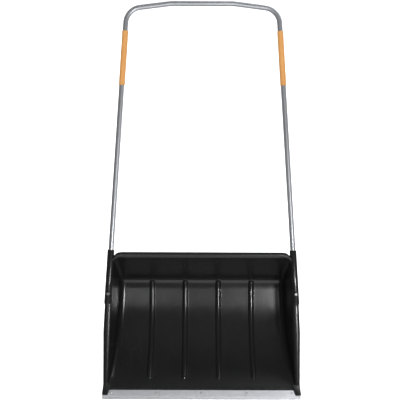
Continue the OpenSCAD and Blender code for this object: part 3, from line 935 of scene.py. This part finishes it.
def make_rivets(material):
    """Domed rivets through the metal and the plastic it grips."""
    shape = Shape()
    dome = (RIVET_HEAD_RADIUS ** 2 + RIVET_HEAD_HEIGHT ** 2) / (2 * RIVET_HEAD_HEIGHT)
    seat = EDGE_TOP - RIVET_SINK
    outline = [(RIVET_SINK, NEAR_AXIS), (RIVET_SINK, RIVET_FOOT_RADIUS)]
    outline += [(RIVET_FOOT_TOP, RIVET_SHANK_RADIUS), (seat, RIVET_SHANK_RADIUS), (seat, RIVET_HEAD_RADIUS)]
    head_steps = 8
    for i in range(head_steps + 1):
        radius = max(RIVET_HEAD_RADIUS * (1 - i / head_steps), NEAR_AXIS)
        rise = math.sqrt(dome ** 2 - radius ** 2) - dome + RIVET_HEAD_HEIGHT
        outline.append((EDGE_TOP + rise, radius))
    for i in range(-2, 3):
        origin = Vector((i * RIVET_PITCH, RIVET_Y, 0)) * MM
        shape.lathe(outline, origin, Vector((0, 0, 1)), round_steps=SMALL_ROUND_STEPS)
    piece("wear_edge_rivet_set", shape, material, "pusher", "rivet_metal", "wear_edge_rivets")


# ---------------------------------------------------------------- the handle

def handle_path():
    """Centre line of the bent tube in the rim's plane, from the left foot to the right: (x, up)."""
    slope = math.atan2(BAR_DROP, CORNER_HALF - BAR_HALF)
    turn = math.pi / 2 - LEG_LEAN - slope
    tangent = CORNER_RADIUS * math.tan(turn / 2)
    bar_tangent = BAR_RADIUS * math.tan(slope / 2)
    corner = Vector((CORNER_HALF, CORNER_UP))
    down = Vector((math.sin(LEG_LEAN), -math.cos(LEG_LEAN)))
    inwards = Vector((-math.cos(slope), math.sin(slope)))
    foot = Vector((leg_half(TUBE_FOOT), TUBE_FOOT))
    leg_top = corner + down * tangent
    leg_steps = 30
    half = [foot + (leg_top - foot) * i / leg_steps for i in range(leg_steps)]
    half += bend(leg_top, -down, CORNER_RADIUS, turn, 20)
    end_start = corner + inwards * tangent
    end_stop = Vector((BAR_HALF, CORNER_UP + BAR_DROP)) - inwards * bar_tangent
    end_steps = 4
    half += [end_start + (end_stop - end_start) * i / end_steps for i in range(1, end_steps)]
    half += bend(end_stop, inwards, BAR_RADIUS, slope, 6)
    flat = BAR_HALF - bar_tangent
    right = half + [Vector((flat * share, CORNER_UP + BAR_DROP)) for share in (0.66, 0.33)]
    left = [Vector((-p.x, p.y)) for p in right]
    return left + [Vector((0, CORNER_UP + BAR_DROP))] + right[::-1]


def bend(start, heading, radius, turn, count):
    """Points on a bend to the left of a heading."""
    left = Vector((-heading.y, heading.x))
    centre = start + left * radius
    points = []
    for i in range(count + 1):
        angle = turn * i / count
        points.append(centre - left * radius * math.cos(angle) + heading * radius * math.sin(angle))
    return points


def tube_rings(path, radius):
    """Rings of points around the tube's centre line, and the same rings on a straight tube."""
    rings = []
    straight_rings = []
    length = 0
    for i, point in enumerate(path):
        before = path[max(i - 1, 0)]
        after = path[min(i + 1, len(path) - 1)]
        length += (point - before).length
        ahead = (after - before).normalized()
        sideways = Vector((-ahead.y, ahead.x))
        ring = []
        straight_ring = []
        for k in range(ROUND_STEPS):
            angle = 2 * math.pi * k / ROUND_STEPS
            off = point + sideways * radius * math.cos(angle)
            ring.append(rim_point(off.x, off.y, -TUBE_DEPTH + radius * math.sin(angle)))
            straight_ring.append(Vector((radius * math.cos(angle), radius * math.sin(angle), length)) * MM)
        rings.append(ring)
        straight_rings.append(straight_ring)
    return rings, straight_rings


def make_handle(material):
    """The bent tube, hollow and open at its two feet."""
    path = handle_path()
    outer, outer_straight = tube_rings(path, TUBE_RADIUS)
    inner, inner_straight = tube_rings(path, TUBE_BORE)
    shape = Shape()
    straight = [p for ring in outer_straight + inner_straight[::-1] for p in ring]
    shape.loft(outer + inner[::-1], loop=True, straight=straight)
    piece("handle_bent_tube", shape, material, "pusher", "handle_aluminium", "handle_tube")


def make_grip(side, name, node, material):
    """A sleeve around a leg, with rounded ends and shallow waists evenly along it."""
    origin, axis = leg_axis(side)
    start = (GRIP_FOOT - TUBE_FOOT) / math.cos(LEG_LEAN)
    end = start + GRIP_LENGTH
    bore = TUBE_RADIUS + GRIP_GAP
    outline = [(start, bore)] + rounded_end(start, GRIP_RADIUS, GRIP_EDGE, 1)
    body_steps = 40
    for i in range(body_steps + 1):
        share = i / body_steps
        along = start + GRIP_END + (GRIP_LENGTH - 2 * GRIP_END) * share
        waist = GRIP_WAIST_DEPTH * (1 + math.cos(2 * math.pi * GRIP_SWELLS * share))
        outline.append((along, GRIP_RADIUS - waist))
    outline += rounded_end(end, GRIP_RADIUS, GRIP_EDGE, -1)[::-1] + [(end, bore)]
    shape = Shape()
    shape.lathe(outline, origin, axis, loop=True)
    piece(name, shape, material, "pusher", "grip_orange", node)


# ---------------------------------------------------------------- wheels

def tread(angle, across, half):
    """How far the tyre's surface is cut in: three grooves around it, and slots across its shoulders."""
    nearest = min(abs(across - centre) for centre in GROOVE_PLACES)
    around = smooth_step((GROOVE_HALF - nearest) / GROOVE_SLOPE)
    turn = angle / (2 * math.pi) * TREAD_BLOCKS + abs(across) / SLOT_SLANT
    slot = 0
    if abs(across) > max(GROOVE_PLACES):
        slot = smooth_step((SLOT_HALF - abs(turn - round(turn))) / SLOT_SLOPE)
    return TREAD_DEPTH * max(around, slot) * smooth_step((half + 1 - abs(across)) / TREAD_FADE)


def make_tyre(side_name, body, material):
    """A solid tyre with rounded shoulders and a cut tread."""
    low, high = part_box(side_name + "_tyre")
    centre = (low + high) / 2
    radius = (high.z - low.z) / 2 / MM
    half = (high.x - low.x) / 2 / MM
    rim_low, rim_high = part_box(side_name + "_wheel_rim")
    seat = (rim_high.z - rim_low.z) / 2 / MM
    flank = [(inset - half, seat + rise) for inset, rise in TYRE_BEAD]
    flank += [(-half, radius - TYRE_SHOULDER - TYRE_FLANK)]
    flank += arc((TYRE_SHOULDER - half, radius - TYRE_SHOULDER), TYRE_SHOULDER, 180, 90, 6)
    flat = half - TYRE_SHOULDER
    tread_steps = 52
    middle = [(-flat + 2 * flat * i / tread_steps, radius) for i in range(1, tread_steps)]
    outline = flank + middle + [(-x, r) for x, r in reversed(flank)]
    turn_steps = TREAD_BLOCKS * 12
    rings = []
    for x, r in outline:
        ring = []
        for k in range(turn_steps):
            angle = 2 * math.pi * k / turn_steps
            cut = tread(angle, x, half) if r > radius - TYRE_SHOULDER else 0
            reach = r - cut
            ring.append(centre + Vector((x, reach * math.cos(angle), reach * math.sin(angle))) * MM)
        rings.append(ring)
    shape = Shape()
    shape.loft(rings, loop=True)
    node = side_name + "_tyre"
    piece(node + "_solid", shape, material, body, "tyre_rubber", node, sharp=35)


# ---------------------------------------------------------------- carried-over CAD nodes

def finish_node(name, material, bevel):
    """Gives a CAD node its material, rounded edges and smooth shading."""
    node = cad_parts[name]
    node.data.materials.clear()
    node.data.materials.append(material)
    for polygon in node.data.polygons:
        polygon.material_index = 0
    weld = node.modifiers.new("weld", "WELD")
    weld.merge_threshold = WELD_DISTANCE * MM
    rounding = node.modifiers.new("edges", "BEVEL")
    rounding.width = bevel * MM
    rounding.segments = 2
    rounding.limit_method = "ANGLE"
    rounding.angle_limit = math.radians(HARD_EDGE)
    rounding.harden_normals = True
    node.data.shade_smooth()


# ---------------------------------------------------------------- the stage

def area_light(name, place, target, size, power, glossy=True):
    """A rectangular light that faces a target. Sizes are in metres, the power is in watts."""
    data = bpy.data.lights.new(name, "AREA")
    data.shape = "RECTANGLE"
    data.size, data.size_y = size
    data.energy = power
    light = bpy.data.objects.new(name, data)
    light.location = place
    light.rotation_euler = (Vector(target) - Vector(place)).to_track_quat("-Z", "Y").to_euler()
    light.visible_glossy = glossy
    bpy.context.scene.collection.objects.link(light)


def make_floor():
    """A pale floor, which the object's glossy parts don't reflect."""
    mesh = bpy.data.meshes.new("studio_floor")
    reach = 30
    corners = [(-reach, -reach, 0), (reach, -reach, 0), (reach, reach, 0), (-reach, reach, 0)]
    mesh.from_pydata(corners, [], [(0, 1, 2, 3)])
    look = Look("studio_floor", Roughness=0.9, Base_Color=(0.8, 0.8, 0.8, 1))
    look.shader.inputs["Emission Color"].default_value = (1, 1, 1, 1)
    look.shader.inputs["Emission Strength"].default_value = 0.72
    look.shader.inputs["Specular IOR Level"].default_value = 0
    mesh.materials.append(look.material)
    floor = bpy.data.objects.new("studio_floor", mesh)
    bpy.context.scene.collection.objects.link(floor)
    floor.visible_glossy = False


def make_world():
    """A studio that is white to the camera. What shines on the object and is reflected in it is a
    grey floor, a brighter patch of it in front, and a low backdrop behind that is brighter to the
    right, under a dark ceiling."""
    world = bpy.data.worlds.new("studio")
    world.use_nodes = True
    bpy.context.scene.world = world
    tree = world.node_tree
    background = tree.nodes["Background"]
    background.inputs["Color"].default_value = (1, 1, 1, 1)
    direction = tree.nodes.new("ShaderNodeTexCoord").outputs["Generated"]

    def towards(way, start, end, low, high):
        """Low to high, as a ray's direction along a way goes from start to end."""
        slope = tree.nodes.new("ShaderNodeVectorMath")
        slope.operation = "DOT_PRODUCT"
        slope.inputs[1].default_value = Vector(way).normalized()
        tree.links.new(direction, slope.inputs[0])
        spread = tree.nodes.new("ShaderNodeMapRange")
        spread.interpolation_type = "SMOOTHSTEP"
        tree.links.new(slope.outputs["Value"], spread.inputs["Value"])
        for key, value in (("From Min", start), ("From Max", end), ("To Min", low), ("To Max", high)):
            spread.inputs[key].default_value = value
        return spread.outputs["Result"]

    def join(operation, first, second):
        made = tree.nodes.new("ShaderNodeMath")
        made.operation = operation
        tree.links.new(first, made.inputs[0])
        tree.links.new(second, made.inputs[1])
        return made.outputs[0]

    down = (0, 0, -1)
    right = (1, 0, 0)
    ground = towards(down, -0.02, 0.12, 0.03, 0.4)
    front = towards((0, -1, 0), 0.86, 0.95, 0.0, 2.5)
    front = join("MULTIPLY", front, towards(down, -0.28, -0.08, 0, 1))
    front = join("MULTIPLY", front, towards(down, 0.32, 0.45, 1, 0))
    ground = join("MAXIMUM", ground, front)
    ground = join("MULTIPLY", ground, towards(right, -0.8, 0.8, 0.35, 0.75))
    tilt = math.radians(BACKDROP_RISE)
    backdrop = towards((0.25, math.sin(tilt), -math.cos(tilt)), -0.06, 0.10, 0.0, 1.0)
    backdrop = join("MULTIPLY", backdrop, towards(right, -0.3, 0.3, 0.6, 3.6))
    backdrop = join("MULTIPLY", backdrop, towards(right, 0.5, 0.85, 1.0, 0.25))
    backdrop = join("MULTIPLY", backdrop, towards((0, 1, 0), -0.05, 0.3, 0.0, 1.0))
    strength = join("MAXIMUM", ground, backdrop)
    camera_ray = tree.nodes.new("ShaderNodeLightPath").outputs["Is Camera Ray"]
    tree.links.new(join("MAXIMUM", strength, camera_ray), background.inputs["Strength"])


def make_lights():
    """A broad light from above, and small ones near the camera that the pan's plastic reflects."""
    heel = rim_place(0, 320, -170)
    area_light("overhead", (0, -0.4, 4), (0, 0.3, 0), size=(4, 4), power=230, glossy=False)
    area_light("left_softbox", rim_place(-560, 30, 2450), heel, size=(0.16, 0.14), power=1.2)
    area_light("right_softbox", rim_place(1060, 30, 2450), heel, size=(0.24, 0.14), power=36)
    area_light("front_panel", rim_place(100, 0, 2600), heel, size=(1.3, 0.2), power=2.0)


def rim_place(x, up, out):
    """A point in the rim's frame as plain numbers, in metres."""
    return tuple(rim_point(x, up, out))


def make_camera():
    """Square onto the rim's plane, with a very small roll."""
    roll = math.radians(CAMERA_ROLL)
    data = bpy.data.cameras.new("camera")
    data.lens = CAMERA_LENS
    data.sensor_width = 36
    camera = bpy.data.objects.new("camera", data)
    right = Vector((1, 0, 0))
    up = rim_direction(0, 1, 0)
    back = rim_direction(0, 0, 1)
    tilted_right = right * math.cos(roll) + up * math.sin(roll)
    tilted_up = up * math.cos(roll) - right * math.sin(roll)
    turn = Matrix((tilted_right, tilted_up, back)).transposed().to_4x4()
    camera.matrix_world = Matrix.Translation(rim_point(*CAMERA_PLACE)) @ turn
    bpy.context.scene.collection.objects.link(camera)
    bpy.context.scene.camera = camera


def make_object():
    """The pieces made here, then the CAD nodes that keep their own shape."""
    rivet = metal_look("rivet_aluminium", (0.60, 0.60, 0.62), (0.70, 0.70, 0.72), 0.40, 0.50, metallic=0.8)
    make_pan(pan_look())
    make_wear_edge(wear_edge_look())
    make_rivets(rivet)
    make_handle(handle_look())
    grip = grip_look()
    make_grip(-1, "left_grip_sleeve", "left_grip", grip)
    make_grip(1, "right_grip_sleeve", "right_grip", grip)
    tyre = tyre_look()
    make_tyre("left", "left_wheel", tyre)
    make_tyre("right", "right_wheel", tyre)
    zinc = metal_look("zinc_plated_steel", (0.36, 0.37, 0.40), (0.48, 0.48, 0.50), 0.36, 0.5)
    wheel = plastic_look("wheel_moulded_plastic", (0.018, 0.018, 0.02), (0.032, 0.032, 0.034), 0.35, 0.5)
    bracket = metal_look("bracket_galvanised", (0.50, 0.51, 0.54), (0.64, 0.65, 0.67), 0.3, 0.45, scale=90)
    axle = metal_look("axle_bright_steel", (0.52, 0.52, 0.54), (0.66, 0.66, 0.68), 0.18, 0.3, (0.05, 1, 1))
    cap = plastic_look("cap_black_plastic", (0.012, 0.012, 0.012), (0.022, 0.022, 0.022), 0.3, 0.42)
    nylon = plastic_look("bushing_natural_nylon", (0.70, 0.68, 0.60), (0.78, 0.77, 0.71), 0.35, 0.5)
    for name in ("handle_screws", "handle_washers", "handle_nuts"):
        finish_node(name, zinc, 0.25)
    for name in ("bracket_screws", "axle_spacers", "axle_washers"):
        finish_node(name, zinc, 0.25)
    for side in ("left", "right"):
        finish_node(side + "_axle_bracket", bracket, 0.5)
        finish_node(side + "_wheel_rim", wheel, 0.8)
        finish_node(side + "_hub_bushings", nylon, 0.4)
    finish_node("wheel_axle", axle, 0.5)
    finish_node("axle_caps", cap, 0.6)


bpy.context.scene.view_settings.view_transform = "Standard"
make_world()
make_floor()
make_lights()
make_camera()
make_object()
